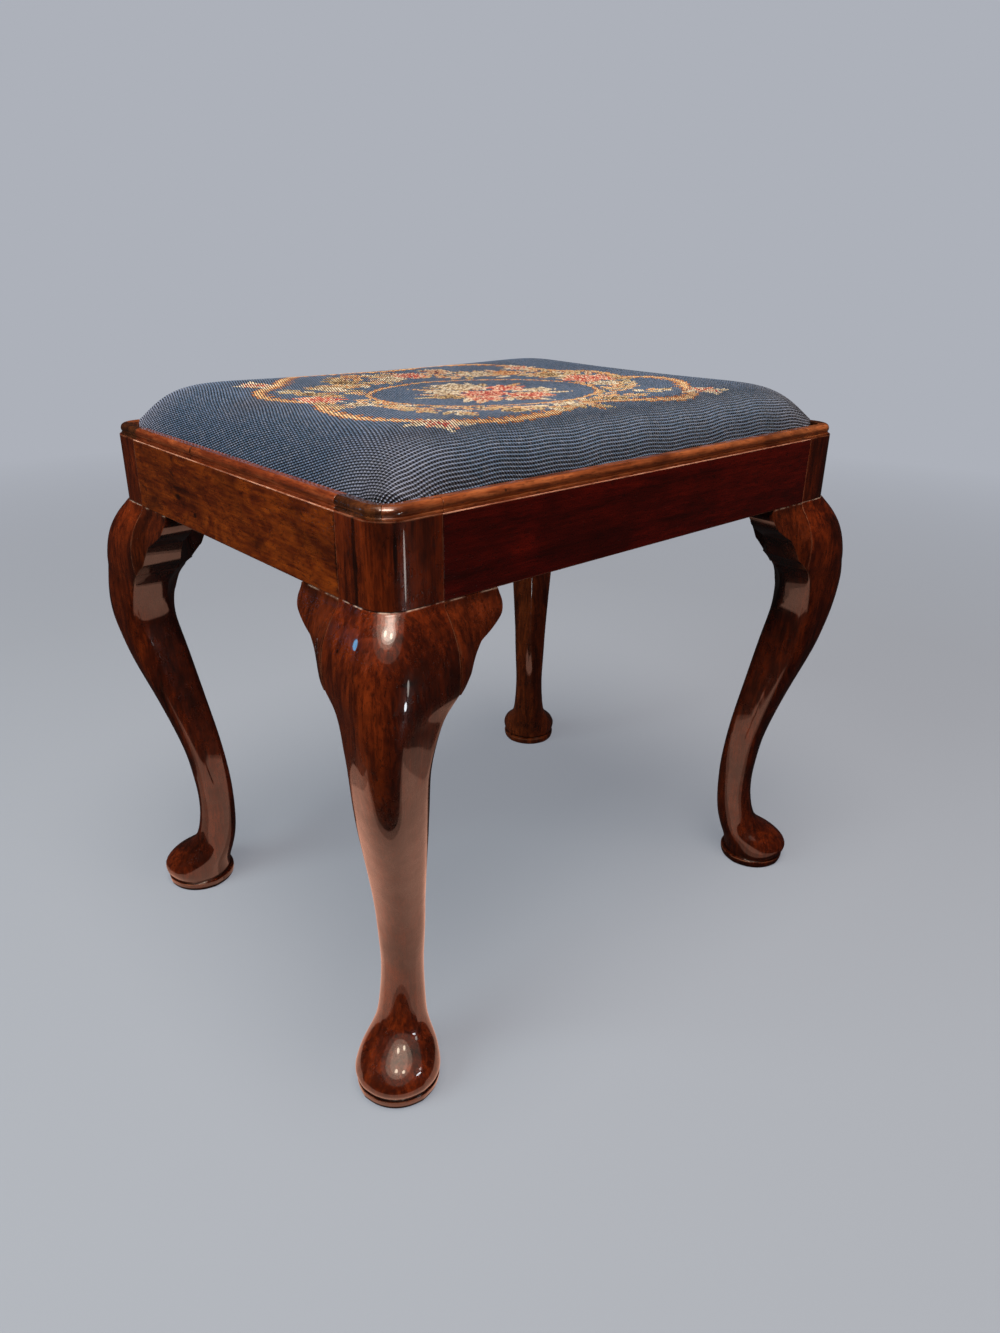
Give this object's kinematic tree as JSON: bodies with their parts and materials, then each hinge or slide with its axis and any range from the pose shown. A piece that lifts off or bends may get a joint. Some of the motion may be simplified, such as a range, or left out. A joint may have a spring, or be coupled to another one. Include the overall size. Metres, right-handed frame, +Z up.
{
  "type": "upholstered stool",
  "caption": "Rectangular stool on cabriole legs with pad feet, shaped ear brackets and a moulded frame that holds a lift-out seat with a domed floral needlepoint cover.",
  "frame": {"origin": "on the floor, under the middle of the stool's overall box", "axes": "+X along the longer rails towards the right, +Y towards the back, +Z up"},
  "size_m": [0.5529, 0.4503, 0.4995],
  "materials": {
    "walnut": "old polished walnut, glossy, with wear on the edges",
    "walnut_rail": "old polished walnut, dark red-brown, glossy",
    "walnut_moulding": "polished walnut, redder and more worn than the rails",
    "beech": "bare planed beech, aged",
    "jute_webbing": "woven jute webbing",
    "hessian": "plain-weave hessian",
    "horsehair": "curled horsehair",
    "needlepoint": "wool needlepoint, navy ground with a floral medallion in gold, cream and pink",
    "blued_steel": "blued cut tacks"
  },
  "bodies": {
    "stool_frame": {"leg_front_left": "walnut", "leg_front_right": "walnut", "leg_back_left": "walnut", "leg_back_right": "walnut", "rail_front": "walnut_rail", "rail_back": "walnut_rail", "rail_left": "walnut_rail", "rail_right": "walnut_rail", "ear_front_left_long": "walnut", "ear_front_left_short": "walnut", "ear_front_right_long": "walnut", "ear_front_right_short": "walnut", "ear_back_left_long": "walnut", "ear_back_left_short": "walnut", "ear_back_right_long": "walnut", "ear_back_right_short": "walnut", "bead_front": "walnut_moulding", "bead_back": "walnut_moulding", "bead_right": "walnut_moulding", "bead_left_near": "walnut_moulding", "bead_left_far": "walnut_moulding", "corner_bead_front_left_long": "walnut_moulding", "corner_bead_front_left_short": "walnut_moulding", "corner_bead_front_right_long": "walnut_moulding", "corner_bead_front_right_short": "walnut_moulding", "corner_bead_back_left_long": "walnut_moulding", "corner_bead_back_left_short": "walnut_moulding", "corner_bead_back_right_long": "walnut_moulding", "corner_bead_back_right_short": "walnut_moulding", "brace_front_left": "beech", "brace_front_right": "beech", "brace_back_left": "beech", "brace_back_right": "beech"},
    "drop_in_seat": {"seat_bar_front": "beech", "seat_bar_back": "beech", "seat_bar_left": "beech", "seat_bar_right": "beech", "webbing_lengthwise": "jute_webbing", "webbing_crosswise": "jute_webbing", "webbing_tacks": "blued_steel", "hessian": "hessian", "hessian_tacks": "blued_steel", "hair_stuffing": "horsehair", "needlepoint_cover": "needlepoint", "cover_tacks": "blued_steel"}
  },
  "joints": [
    {"name": "seat_lift", "type": "slide", "parent": "stool_frame", "child": "drop_in_seat", "axis": [0, 0, 1], "range_m": [0, 0.12]}
  ]
}
